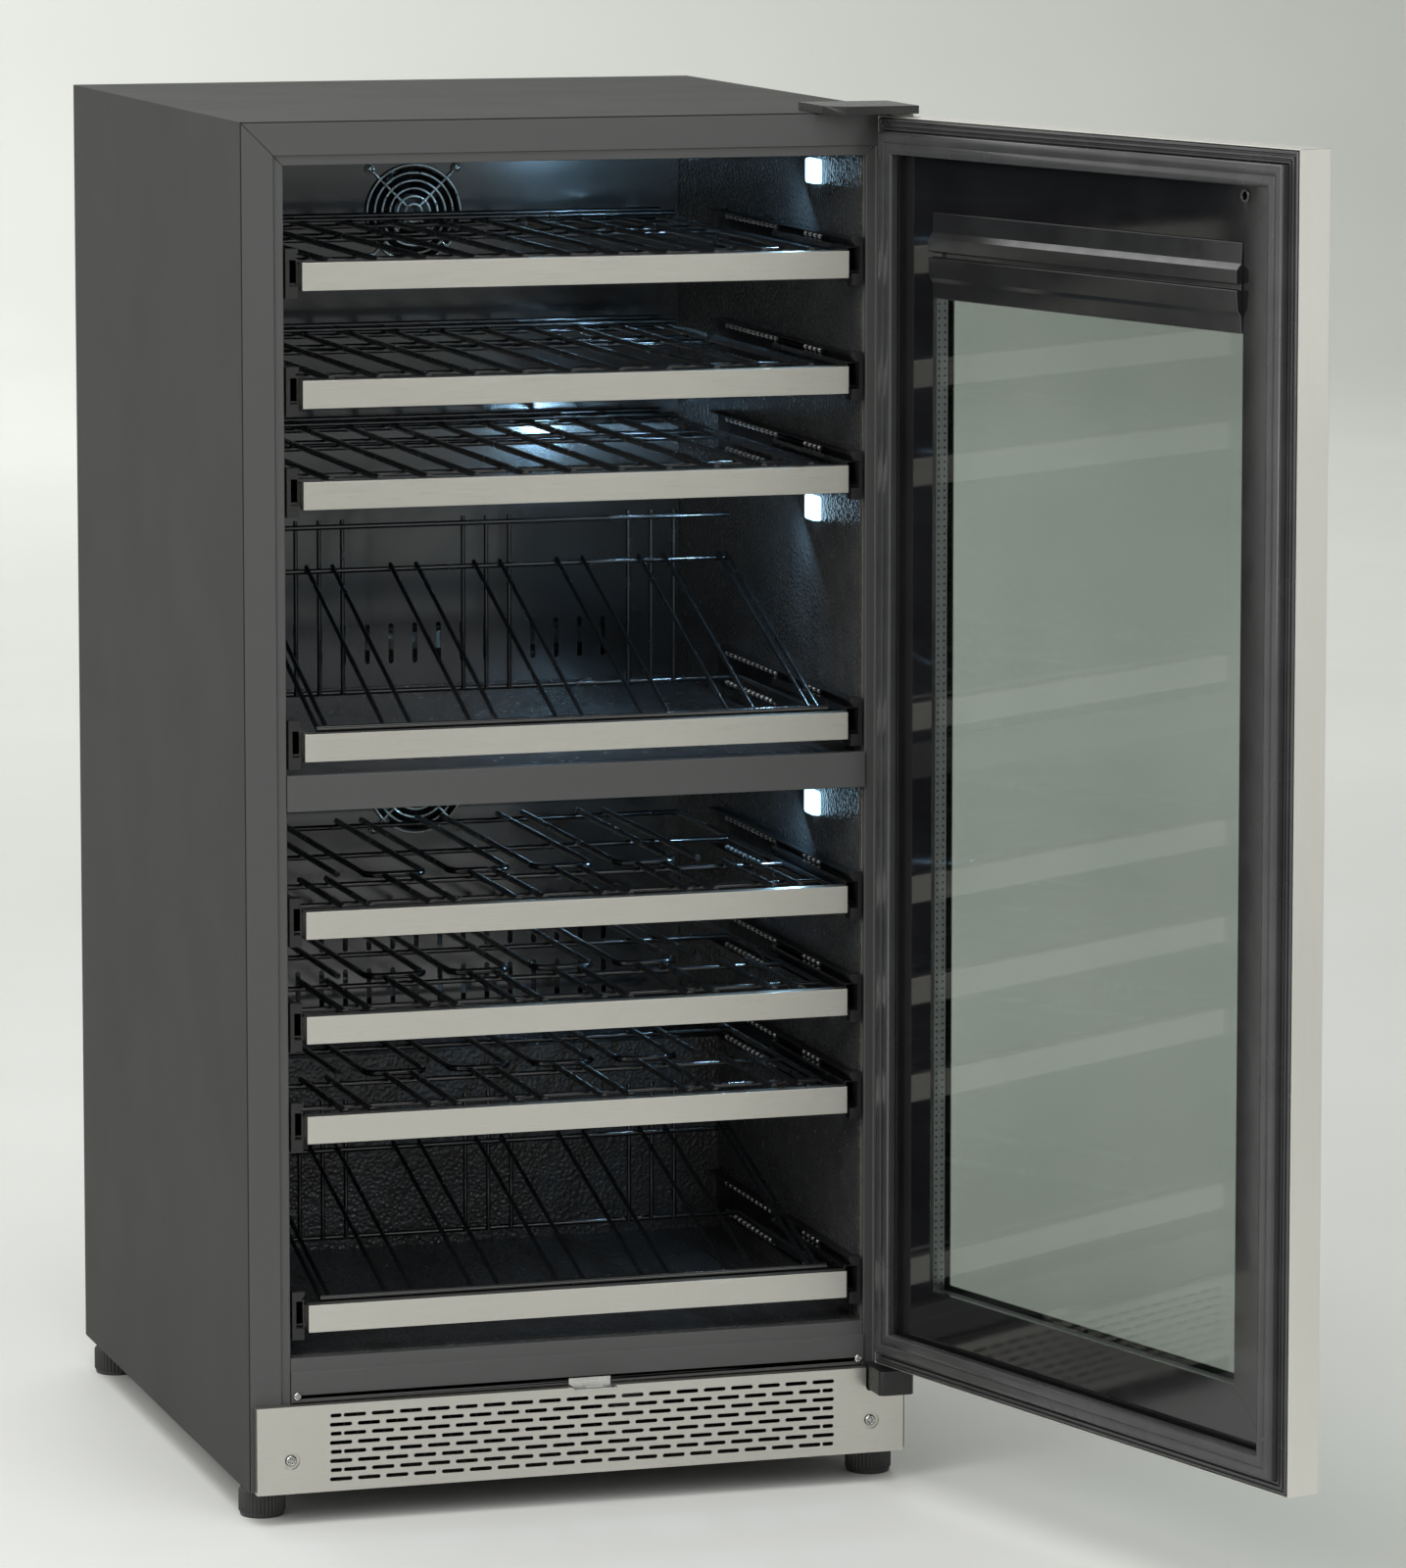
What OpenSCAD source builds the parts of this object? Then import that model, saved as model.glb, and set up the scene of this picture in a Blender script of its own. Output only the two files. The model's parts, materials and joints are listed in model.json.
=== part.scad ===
// Two-zone wine cooler with a glass door, eight pull-out shelves and a vented kickplate.
// Millimetres, Z up, floor at z = 0, origin on the floor midway between the four feet.
// X runs along the front, Y runs into the cabinet. The door stands open at rest.

/* [Cabinet] */
// Overall width
cab_w = 595; // [500:1:700]
// Depth of the cabinet without its door
cab_d = 660; // [500:1:750]
// Height of the top above the floor
cab_h = 1210; // [800:1:1900]
// Height of the base above the floor
base_z = 28; // [20:1:60]
// Thickness of the outer sheet
case_t = 1; // [0.6:0.1:2]
// Width of the flat face of the front frame
frame_flat = 28; // [20:1:40]
// Width of the front frame with its recessed lip
frame_full = 36.4; // [30:0.1:50]
// Depth of the front frame bars
frame_d = 10; // [6:1:20]

/* [Zones] */
// Half the width between the liner walls
liner_x = 258; // [200:1:300]
// Thickness of the liner sheet
liner_t = 2; // [1:0.5:4]
// Underside and top of the bar between the zones
divider_z = [620, 651]; // [400:1:900]
// Floor of the lower zone
lower_floor_z = 145; // [120:1:200]
// Depth at which the step over the machine room starts
step_y = 430; // [300:1:560]
// Top of the step over the machine room
step_z = 325; // [200:1:400]
// Depth of the front face of the rear air panels
panel_y = 555.5; // [450:0.5:620]
// Heights of the two fan centres
fan_z = [1092, 556]; // [400:1:1150]
// Spacing of the intake slots in the air panels
intake_pitch = 22.9; // [15:0.1:40]
// Heights of the three lamps
lamp_z = [1151, 852, 588]; // [150:1:1180]

/* [Shelves] */
// Top of each front bar, from the top shelf down
shelf_z = [1090, 989.5, 903, 686.5, 533, 442, 355, 190]; // [150:0.5:1150]
// Rise of each rack from front to back (0 is a flat rack)
shelf_rise = [0, 0, 0, 111, 0, 0, 0, 81]; // [0:1:150]
// Length of a front bar
bar_w = 488; // [400:1:520]
// Height of a front bar
bar_h = 24; // [15:1:40]
// Depth of a front bar
bar_d = 12; // [6:1:25]
// Spacing of the bottle places
bottle_pitch = 77.5; // [70:0.5:100]
// Spacing of the two wires between neighbouring bottles
wire_pair = 24; // [15:1:40]
// Spacing of the wires of the upper flat racks
even_pitch = 43; // [35:0.5:50]
// Depth of the back of a flat rack
rack_y = 500; // [350:1:520]
// Depth of the fence of a sloping rack
fence_y = 300; // [200:1:400]

/* [Slides] */
// Height of a fixed rail
rail_h = 35; // [25:1:45]
// Front and back of a fixed rail
rail_y = [16, 426]; // [5:1:500]
// Back end of the moving runner
runner_y = 225; // [150:1:300]
// Front and back of a ball cage
cage_y = [100, 385]; // [20:1:420]
// Radius of a bearing ball
ball_r = 2.3; // [1.5:0.1:3]

/* [Kickplate] */
// Top of the kickplate
kick_z = 104.5; // [80:0.5:150]
// How far the kickplate stands in front of the frame
kick_y = 10.7; // [5:0.1:30]
// Half the length of the kickplate
kick_x = 293; // [200:1:297]
// Length and height of a vent slot
slot_size = [20, 3.4]; // [2:0.1:40]
// Spacing of the slots along a row, and of the rows
slot_pitch = [25, 8]; // [4:0.5:50]
// Number of slot rows
slot_rows = 8; // [1:1:12]

/* [Door] */
// How far the door stands open
door_open = 106; // [0:1:115]
// Bottom and top of the door
door_z = [110, 1207.5]; // [50:0.5:1800]
// Front and back of the stainless skin when the door is closed, from the frame's face
door_y = [-41, -10]; // [-60:1:-5]
// Hinge pin, from the middle of the frame's face when the door is closed
hinge = [283.5, -26]; // [-60:0.5:297]
// Half the width of the window in the stainless skin
window_x = 220; // [150:1:260]
// Bottom and top of the window in the stainless skin
window_z = [190, 1060]; // [150:1:1150]
// Radius of the hinge pins
pin_r = 4; // [3:0.5:6]

/* [Feet] */
// Distance of the foot centres from the middle, across and from front to back
foot_at = [277, 290]; // [200:1:300]
// Radius of a foot
foot_r = 20.5; // [15:0.5:30]
// Height of the ribbed knob of a foot
foot_h = 25; // [15:1:27]

/* [Hidden] */
half_w = cab_w / 2;
frame_x = half_w - 1.1;
frame_top = cab_h - 1.1;
pane_z = [door_z[0] + 64, door_z[1] - 64];
opening_x = frame_x - frame_full;
weld = 0.5;
gap = 0.2;
mitre_gap = 0.15;
wire_r = 2;
heavy_r = 2.9;
cross_r = 2.4;
heavy_z = -0.5;
stacked = heavy_r + cross_r - 0.4;
side_r = 2.6;
shelf_count = len(shelf_z);
rail_drop = 8.3;
paired_x = [for (k = [-2:2]) for (s = [-1, 1]) k * bottle_pitch + s * wire_pair / 2];
end_wire_x = 218;
side_x = 239.5;
fan_hole_r = 43;
intake_rows = [[690], [365, 419.5]];
fan_bolt = 41.25;
charcoal = [0.16, 0.16, 0.165];
black = [0.03, 0.03, 0.035];
steel = [0.72, 0.71, 0.67];
plain_steel = [0.55, 0.56, 0.57];
rubber_grey = [0.2, 0.2, 0.21];
$fn = 48;

fixed_nodes = ["outer_case", "back_plate", "base_plate", "front_frame", "foam_core", "upper_liner", "lower_liner",
    "air_panels", "fan_guards", "small_screws", "fan_frames", "evaporators", "led_lamps", "outer_rails", "rail_clips",
    "kickplate", "kickplate_screws", "lock_strike", "hinge_brackets", "hinge_covers", "compressor", "condenser",
    "mains_inlet"];
moving_nodes = ["upper_fan", "lower_fan", "foot_front_left", "foot_front_right", "foot_rear_left",
    "foot_rear_right"];
door_nodes = ["door_frame", "door_inner_frame", "door_gasket", "glass_panes", "glass_spacer", "control_housing",
    "hinge_bushes"];
shelf_nodes = [for (i = [1:shelf_count]) each [str("rack_", i), str("front_bar_", i), str("ball_cages_", i)]];

// ---- helpers ----

// Everything below is drawn with y = 0 on the face of the front frame, then moved to the middle.
module at_front() {
    translate([0, -cab_d / 2, 0]) children();
}

// The door is drawn closed and swung open about its pins.
module door_pose() {
    at_front()
        translate([hinge[0], hinge[1], 0])
            rotate([0, 0, door_open])
                translate([-hinge[0], -hinge[1], 0])
                    children();
}

// A box between two corners.
module span(lo, hi) {
    translate(lo) cube(hi - lo);
}

// A flat shape drawn in x and z, given thickness from y0 to y1.
module upright(y0, y1) {
    translate([0, y1, 0]) rotate([90, 0, 0]) linear_extrude(y1 - y0) children();
}

// A side profile drawn in y and z, given length from x0 to x1.
module along_x(x0, x1) {
    translate([x0, 0, 0]) rotate([90, 0, 90]) linear_extrude(x1 - x0) children();
}

module both_sides() {
    children();
    mirror([1, 0, 0]) children();
}

// A round wire from a to b.
module wire(a, b, r) {
    v = b - a;
    length = norm(v);
    translate(a) rotate([0, acos(v[2] / length), atan2(v[1], v[0])]) cylinder(r = r, h = length, $fn = 24);
}

// A round bar or hole along y.
module along_y(x, z, r, y0, y1) {
    translate([x, y1, z]) rotate([90, 0, 0]) cylinder(r = r, h = y1 - y0);
}

module ring(radius, r) {
    rotate([90, 0, 0]) rotate_extrude($fn = 64) translate([radius, 0]) circle(r = r, $fn = 20);
}

module round_slot(size) {
    half = (size[0] - size[1]) / 2;
    square([2 * half, size[1]], center = true);
    for (s = [-1, 1]) translate([s * half, 0]) circle(d = size[1], $fn = 24);
}

module rounded_rect(lo, hi, r) {
    translate([lo[0] + r, lo[1]]) square([hi[0] - lo[0] - 2 * r, hi[1] - lo[1]]);
    translate([lo[0], lo[1] + r]) square([hi[0] - lo[0], hi[1] - lo[1] - 2 * r]);
    for (x = [lo[0] + r, hi[0] - r]) for (y = [lo[1] + r, hi[1] - r]) translate([x, y]) circle(r = r);
}

// One bar of a mitred rectangular frame: the strip from w0 to w1 inside an edge of the given length.
module mitred_strip(length, w0, w1) {
    polygon([[-length / 2 + w0 + mitre_gap, w0], [length / 2 - w0 - mitre_gap, w0],
        [length / 2 - w1 - mitre_gap, w1], [-length / 2 + w1 + mitre_gap, w1]]);
}

// The same strip on all four edges of a rectangle.
module on_four_edges(half_x, z, w0, w1) {
    mid = (z[0] + z[1]) / 2;
    height = z[1] - z[0];
    translate([0, z[0]]) mitred_strip(2 * half_x, w0, w1);
    translate([0, z[1]]) rotate(180) mitred_strip(2 * half_x, w0, w1);
    translate([-half_x, mid]) rotate(-90) mitred_strip(height, w0, w1);
    translate([half_x, mid]) rotate(90) mitred_strip(height, w0, w1);
}

// A plain rectangular ring from w0 to w1 inside the edges of a rectangle.
module rect_ring(half_x, z, w0, w1) {
    difference() {
        translate([-half_x + w0, z[0] + w0]) square([2 * (half_x - w0), z[1] - z[0] - 2 * w0]);
        translate([-half_x + w1, z[0] + w1]) square([2 * (half_x - w1), z[1] - z[0] - 2 * w1]);
    }
}

// ---- cabinet shell ----

module outer_case() {
    color(charcoal) at_front() difference() {
        span([-half_w, 0, base_z], [half_w, cab_d, cab_h]);
        span([-half_w + case_t, -1, base_z - 1], [half_w - case_t, cab_d + 1, cab_h - case_t]);
    }
}

module back_plate() {
    louvre = [34, 5];
    color(charcoal) at_front() upright(cab_d - 4, cab_d - 2.5) difference() {
        translate([-frame_x, base_z + 2.4]) square([2 * frame_x, frame_top - base_z - 2.4]);
        for (i = [-5:5]) for (k = [0:6]) translate([i * 44, 120 + k * 18]) round_slot(louvre);
        translate([-220, 80]) square([31, 23], center = true);
    }
}

module base_plate() {
    color(plain_steel) at_front() difference() {
        union() {
            span([-frame_x, 0.5, base_z + gap], [frame_x, cab_d - 5, base_z + 2.2]);
            for (x = [-foot_at[0], foot_at[0]]) for (y = [-foot_at[1], foot_at[1]])
                translate([x, cab_d / 2 + y, base_z + gap]) cylinder(r = 9, h = 12);
        }
        for (x = [-foot_at[0], foot_at[0]]) for (y = [-foot_at[1], foot_at[1]])
            translate([x, cab_d / 2 + y, base_z - 1]) cylinder(r = 5.3, h = 20);
        both_sides() span([249, 0, base_z], [half_w, frame_d + gap, base_z + 3]);
    }
}

module frame_upright_shape(w0, w1) {
    polygon([[-frame_x + w0, base_z + gap], [-frame_x + w1, base_z + gap],
        [-frame_x + w1, frame_top - w1 - mitre_gap], [-frame_x + w0, frame_top - w0 - mitre_gap]]);
}

module frame_top_shape(w0, w1) {
    polygon([[-frame_x + w0 + mitre_gap, frame_top - w0], [frame_x - w0 - mitre_gap, frame_top - w0],
        [frame_x - w1 - mitre_gap, frame_top - w1], [-frame_x + w1 + mitre_gap, frame_top - w1]]);
}

// Two uprights and a top bar meet in mitres; the bottom rail and the divider bar sit between the uprights.
module front_frame() {
    lip_y = 2;
    screw_x = 262.7;
    color(charcoal) at_front() {
        both_sides() difference() {
            union() {
                upright(0, lip_y + weld) frame_upright_shape(0, frame_flat);
                upright(lip_y, frame_d) frame_upright_shape(0, frame_full);
                span([-270, lip_y, base_z + gap], [-250, frame_d, kick_z - 2]);
            }
            along_y(-screw_x, 56.8, 2.3, 0, frame_d + 1);
        }
        upright(0, lip_y + weld) frame_top_shape(0, frame_flat);
        upright(lip_y, frame_d) frame_top_shape(0, frame_full);
        difference() {
            union() {
                span([-opening_x + gap, 0, 105], [opening_x - gap, lip_y + weld, 132]);
                span([-opening_x + gap, lip_y, 105], [opening_x - gap, frame_d, lower_floor_z - 1]);
            }
            for (s = [-1, 1]) along_y(s * 254.5, 111, 2.3, -1, frame_d + 1);
        }
        span([-opening_x + gap, 0, divider_z[0]], [opening_x - gap, frame_d, divider_z[1]]);
    }
}

module upper_liner_shape(t) {
    translate([frame_d + gap, divider_z[1] - 1 - t])
        square([600 + t - frame_d - gap, cab_h - 36 - divider_z[1] + 1 + 2 * t]);
}

module lower_liner_shape(t) {
    front = frame_d + gap;
    floor_z = lower_floor_z - t;
    top_z = divider_z[0] + 1 + t;
    polygon([[front, floor_z], [step_y + t, floor_z], [step_y + t, step_z - t], [600 + t, step_z - t],
        [600 + t, top_z], [front, top_z]]);
}

module upper_liner() {
    color(black) at_front() difference() {
        along_x(-liner_x - liner_t, liner_x + liner_t) upper_liner_shape(liner_t);
        along_x(-liner_x, liner_x) union() {
            upper_liner_shape(0);
            translate([0, divider_z[1] - 1]) square([20, cab_h - 35 - divider_z[1]]);
        }
    }
}

module lower_liner() {
    color(black) at_front() difference() {
        along_x(-liner_x - liner_t, liner_x + liner_t) lower_liner_shape(liner_t);
        along_x(-liner_x, liner_x) union() {
            lower_liner_shape(0);
            translate([0, lower_floor_z]) square([20, divider_z[0] + 1 - lower_floor_z]);
        }
    }
}

// Insulation between the case and the liners, with the machine room left free at the bottom and back.
module foam_core() {
    wall = 40;
    color([0.85, 0.8, 0.6]) at_front() difference() {
        span([-frame_x + gap, frame_d + gap, 108], [frame_x - gap, cab_d - 4.2, frame_top - gap]);
        along_x(-liner_x - liner_t, liner_x + liner_t) upper_liner_shape(liner_t);
        along_x(-liner_x - liner_t, liner_x + liner_t) lower_liner_shape(liner_t);
        span([-cab_w, step_y + liner_t + wall, base_z], [cab_w, cab_d, step_z - liner_t - wall]);
    }
}

// ---- air system ----

// A sheet with the fan's hole and rows of tall intake slots at the heights given.
module air_panel(z, fan, rows) {
    slot = [38, 4.8];
    upright(panel_y, panel_y + 1.5) difference() {
        translate([-liner_x + gap, z[0]]) square([2 * (liner_x - gap), z[1] - z[0]]);
        translate([0, fan]) circle(r = fan_hole_r, $fn = 72);
        for (s = [-1, 1]) for (t = [-1, 1]) translate([s * fan_bolt, fan + t * fan_bolt]) circle(r = 2.3);
        for (row = rows) for (k = [-8:8]) translate([k * intake_pitch, row]) rotate(90) round_slot(slot);
    }
}

module air_panels() {
    color([0.22, 0.23, 0.24]) at_front() {
        air_panel([divider_z[1] - 1 + gap, cab_h - 36 - gap], fan_z[0], intake_rows[0]);
        air_panel([step_z + gap, divider_z[0] + 1 - gap], fan_z[1], intake_rows[1]);
    }
}

// Wire guard: six rings on four legs that end in screw eyes.
module fan_guard(z) {
    r = 1.1;
    ring_y = panel_y - 3.2;
    leg_y = panel_y - 1.7;
    eye_r = 3.4;
    inner_r = 8.3;
    start = inner_r / sqrt(2);
    reach = fan_bolt - eye_r / sqrt(2);
    translate([0, ring_y, z]) for (k = [0:5]) ring(inner_r + k * 7.3, r);
    for (s = [-1, 1]) for (t = [-1, 1]) {
        wire([s * start, leg_y, z + t * start], [s * reach, leg_y, z + t * reach], r);
        translate([s * fan_bolt, leg_y, z + t * fan_bolt]) ring(eye_r, r + 0.1);
    }
}

module fan_guards() {
    color(plain_steel) at_front() for (z = fan_z) fan_guard(z);
}

// Identical pan-head screws: four in each fan guard, two in the bottom rail.
module pan_screw(x, z, head_y, length) {
    along_y(x, z, 3.6, head_y, head_y + 2.2);
    along_y(x, z, 2, head_y + 2, head_y + length);
}

module small_screws() {
    color(plain_steel) at_front() {
        for (z = fan_z) for (s = [-1, 1]) for (t = [-1, 1])
            pan_screw(s * fan_bolt, z + t * fan_bolt, panel_y - 5.4, 24);
        for (s = [-1, 1]) pan_screw(s * 254.5, 111, -2.5, 12);
    }
}

// Square fan housings behind the panels, each with a three-spoked motor seat.
module fan_frame(z) {
    y0 = panel_y + 1.7;
    y1 = y0 + 25;
    size = 92;
    difference() {
        union() {
            difference() {
                span([-size / 2, y0, z - size / 2], [size / 2, y1, z + size / 2]);
                along_y(0, z, fan_hole_r + 0.5, y0 - 1, y1 + 1);
            }
            along_y(0, z, 18, y1 - 4, y1);
            for (a = [90, 210, 330])
                translate([0, 0, z]) rotate([0, a, 0]) span([14, y1 - 3, -2.5], [45, y1 - 0.5, 2.5]);
        }
        along_y(0, z, 2.05, y0, y1 + 1);
        for (s = [-1, 1]) for (t = [-1, 1]) along_y(s * fan_bolt, z + t * fan_bolt, 2.3, y0 - 1, y1 + 1);
    }
}

module fan_frames() {
    color(black) at_front() for (z = fan_z) fan_frame(z);
}

// Rotor: hub, seven tilted blades and a shaft that runs in the motor seat.
module fan_rotor(z) {
    y0 = panel_y + 4.5;
    hub_r = 17;
    tip_r = 41;
    color(black) at_front() {
        along_y(0, z, hub_r, y0, y0 + 16);
        along_y(0, z, 2, y0 + 15, y0 + 21.5);
        for (i = [0:6]) translate([0, y0 + 8, z]) rotate([0, i * 360 / 7, 0]) rotate([35, 0, 0])
            translate([hub_r - 2, -0.75, -10]) cube([tip_r - hub_r, 1.5, 20]);
    }
}

module upper_fan() {
    fan_rotor(fan_z[0]);
}

module lower_fan() {
    fan_rotor(fan_z[1]);
}

// Cold plates behind the air panels: a sheet with a tube that runs back and forth on it.
module evaporator(z) {
    half = 190;
    tube_r = 4;
    step = 40;
    rows = floor((z[1] - z[0]) / step);
    span([-half - 30, 588, z[0] - 20], [half + 30, 589.5, z[1] + 20]);
    for (k = [0:rows]) wire([-half, 586, z[0] + k * step], [half, 586, z[0] + k * step], tube_r);
    for (k = [0:rows - 1]) {
        side = k % 2 == 0 ? 1 : -1;
        translate([side * half, 586, z[0] + (k + 0.5) * step]) rotate([90, 0, 0]) rotate([0, 0, side * 90 - 180])
            rotate_extrude(angle = 180, $fn = 64) translate([step / 2, 0]) circle(r = tube_r, $fn = 24);
    }
}

module evaporators() {
    color(plain_steel) at_front() {
        evaporator([700, 980]);
        evaporator([370, 450]);
    }
}

module led_lamps() {
    reach = 6;
    color([0.9, 0.95, 1]) at_front() for (z = lamp_z) translate([0, 0, z - 11]) linear_extrude(22)
        polygon([[liner_x - gap, 119], [liner_x - reach, 124], [liner_x - reach, 150], [liner_x - gap, 155]]);
}

// ---- machine room ----

// Motor shell, a thick bell open underneath, on a foot plate with four rubber feet.
module compressor() {
    at = [120, 563];
    foot = [75, 55];
    shell = [[52, 0], [60, 0], [74, 14], [74, 120], [62, 145], [36, 158], [0, 162], [0, 152], [32, 148], [55, 137],
        [65, 117], [65, 18], [52, 5]];
    color(black) at_front() translate([at[0], at[1], base_z + 2.4]) {
        translate([0, 0, 14]) rotate_extrude($fn = 96) polygon(shell);
        difference() {
            span([-foot[0] - 15, -foot[1] - 15, 11], [foot[0] + 15, foot[1] + 15, 14.5]);
            translate([0, 0, 10]) cylinder(r = 50, h = 6);
        }
        for (x = [-foot[0], foot[0]]) for (y = [-foot[1], foot[1]])
            translate([x, y, 0]) cylinder(r = 10, h = 11.5);
    }
}

// Finned tube block behind the kickplate.
module condenser() {
    fin_pitch = 12;
    color(black) at_front() {
        for (k = [0:22]) translate([-220 + k * fin_pitch, 70, base_z + 4]) cube([1, 90, 66]);
        for (y = [92, 138]) for (z = [50, 80]) wire([-228, y, z], [52, y, z], 4);
    }
}

// Appliance inlet in the back plate: a shrouded socket with three blades.
module mains_inlet() {
    z = 80;
    x = -220;
    y1 = cab_d - 0.5;
    color(black) at_front() {
        difference() {
            span([x - 15, y1 - 26, z - 11], [x + 15, y1, z + 11]);
            span([x - 12, y1 - 18, z - 8], [x + 12, y1 + 1, z + 8]);
        }
        for (k = [-1:1]) translate([x + k * 7, 0, z + abs(k) * 1.5]) span([-1, y1 - 20, -2], [1, y1 - 4, 2]);
    }
}

// ---- kickplate and feet ----

module kick_slots() {
    middle = (slot_rows - 1) / 2;
    columns = 9;
    middle_z = 66.5;
    for (r = [0:slot_rows - 1]) {
        z = middle_z + (r - middle) * slot_pitch[1];
        shift = (r % 2 == 0 ? -1 : 1) * slot_pitch[0] / 4;
        for (k = [-columns + 1:columns])
            translate([(k - 0.5) * slot_pitch[0] + shift, z]) round_slot(slot_size);
        short = slot_size[0] / 2;
        translate([-sign(shift) * (columns * slot_pitch[0] - 2), z]) round_slot([short, slot_size[1]]);
    }
}

// Bent sheet with flanges all round, a notch for the lower hinge and a dimple for each screw.
module kickplate() {
    t = 1.2;
    front = -kick_y;
    screw = [262.7, 56.8];
    dimple_r = 7.7;
    notch = [258.5, 83.4];
    color(steel) at_front() difference() {
        union() {
            difference() {
                span([-kick_x, front, base_z], [kick_x, -0.2, kick_z]);
                span([-kick_x + t, front + t, base_z + t], [kick_x - t, 1, kick_z - t]);
            }
            for (s = [-1, 1]) along_y(s * screw[0], screw[1], dimple_r + t, front + t / 2, front + 2.4 + t);
        }
        upright(front - 1, front + t + 1) kick_slots();
        for (s = [-1, 1]) {
            along_y(s * screw[0], screw[1], dimple_r, front - 1, front + 2.4);
            along_y(s * screw[0], screw[1], 2.4, front, 1);
        }
        upright(front - 1, 1) rounded_rect([notch[0], notch[1]], [kick_x + 20, kick_z + 20], 4);
    }
}

module kickplate_screws() {
    color(plain_steel) at_front() for (s = [-1, 1]) {
        along_y(s * 262.7, 56.8, 5.2, -kick_y - 0.2, -kick_y + 2.2);
        along_y(s * 262.7, 56.8, 3.4, -kick_y - 1.2, -kick_y);
        along_y(s * 262.7, 56.8, 2, -kick_y + 2, frame_d - 1);
    }
}

// Catch plate over the middle of the kickplate: a tab with a slot and an upturned leg on the bottom rail.
module lock_strike() {
    x = 7.5;
    half = 19;
    z = kick_z + 0.3;
    color(plain_steel) at_front() difference() {
        union() {
            span([x - half, -25, z], [x + half, -gap, z + 1.2]);
            span([x - half, -1.4, z], [x + half, -gap, z + 6]);
        }
        translate([x, -18, z - 1]) linear_extrude(3) square([16, 5], center = true);
    }
}

module foot(sx, sy) {
    rib_r = 1;
    ribs = 24;
    color(black) translate([sx * foot_at[0], sy * foot_at[1], 0]) {
        cylinder(r = foot_r - 1.5, h = 3.2);
        translate([0, 0, 3]) cylinder(r = foot_r - 0.8, h = foot_h - 4);
        for (k = [0:ribs - 1]) rotate(k * 360 / ribs)
            translate([foot_r - rib_r, 0, 4]) cylinder(r = rib_r, h = foot_h - 6, $fn = 16);
        translate([0, 0, foot_h - 1.2]) cylinder(r = 8, h = base_z - foot_h + 1);
        cylinder(r = 5, h = 58);
    }
}

module foot_front_left() {
    foot(-1, -1);
}

module foot_front_right() {
    foot(1, -1);
}

module foot_rear_left() {
    foot(-1, 1);
}

module foot_rear_right() {
    foot(1, 1);
}

// ---- hinges ----

module hinge_pin(z0, z1) {
    translate([hinge[0], hinge[1], z0]) cylinder(r = pin_r, h = z1 - z0);
}

module hinge_brackets() {
    plate_t = 3;
    top_z = cab_h + gap;
    low_z = 103;
    color(plain_steel) at_front() {
        translate([0, 0, top_z]) linear_extrude(plate_t)
            polygon([[217, 38], [217, -26], [229, -41], [289.5, -41], [289.5, 38]]);
        hinge_pin(door_z[1] - 17, top_z + plate_t);
        span([262.5, -41, low_z], [289.5, -0.3, low_z + plate_t]);
        span([262.5, -3.3, 90], [289.5, -0.3, low_z + plate_t]);
        hinge_pin(low_z, door_z[0] + 17);
    }
}

// Plastic caps: a flat one on the cabinet's top and a rounded box in the kickplate's notch.
module hinge_covers() {
    wall = 1.7;
    top_z = cab_h + gap;
    outline = [[211, 42], [211, -26], [226, -45], [292, -45], [292, 42]];
    inner = [[213, 40], [213, -25.3], [227, -43.2], [290.2, -43.2], [290.2, 40]];
    low_z = [86, 107.5];
    color(black) at_front() {
        difference() {
            translate([0, 0, top_z]) linear_extrude(7) polygon(outline);
            translate([0, 0, top_z - 1]) linear_extrude(6.2) polygon(inner);
        }
        difference() {
            translate([0, 0, low_z[0]]) linear_extrude(low_z[1] - low_z[0])
                rounded_rect([260, -45], [292, -0.4], 5);
            translate([0, 0, low_z[0] + wall]) linear_extrude(low_z[1] - low_z[0] - 2.9)
                rounded_rect([260 + wall, -45 + wall], [292 - wall, 12], 4);
            translate([hinge[0], hinge[1], low_z[1] - 5]) cylinder(r = pin_r + 3, h = 10);
        }
    }
}

// ---- door, drawn closed ----

module door_frame() {
    t = 1;
    color(steel) door_pose() difference() {
        span([-half_w, door_y[0], door_z[0]], [half_w, door_y[1], door_z[1]]);
        span([-half_w + t, door_y[0] + t, door_z[0] + t], [half_w - t, 1, door_z[1] - t]);
        span([-window_x, door_y[0] - 1, window_z[0]], [window_x, door_y[0] + 2, window_z[1]]);
        translate([hinge[0], hinge[1], door_z[0] - 1]) cylinder(r = 7.4, h = door_z[1] - door_z[0] + 2);
    }
}

// Four profiles that carry the glass, with a ribbed channel outside the gasket and a lip over the glass.
module door_inner_frame() {
    half = half_w - 1.2;
    z = [door_z[0] + 1.2, door_z[1] - 1.2];
    body_w = 58.3;
    lip_w = 77.3;
    rib_w = 1.2;
    color(black) door_pose() difference() {
        union() {
            upright(-39.8, -17.6) on_four_edges(half, z, 0, body_w);
            upright(-17.8, -14) on_four_edges(half, z, 0, lip_w);
            for (w = [2, 5.5, 9]) upright(-14.5, -11.2) on_four_edges(half, z, w, w + rib_w);
        }
        for (end = [[z[0] - 1, door_z[0] + 21], [door_z[1] - 21, z[1] + 1]])
            translate([hinge[0], hinge[1], end[0]]) cylinder(r = 7.4, h = end[1] - end[0]);
        along_y(-221, door_z[1] - 41, 3.5, -22, -10);
    }
}

module door_gasket() {
    half = half_w - 1.2;
    z = [door_z[0] + 1.2, door_z[1] - 1.2];
    color(rubber_grey) door_pose() {
        upright(-13.8, -6.8) rect_ring(half, z, 15, 27);
        upright(-7, -0.5) rect_ring(half, z, 11.5, 30.5);
    }
}

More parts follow.
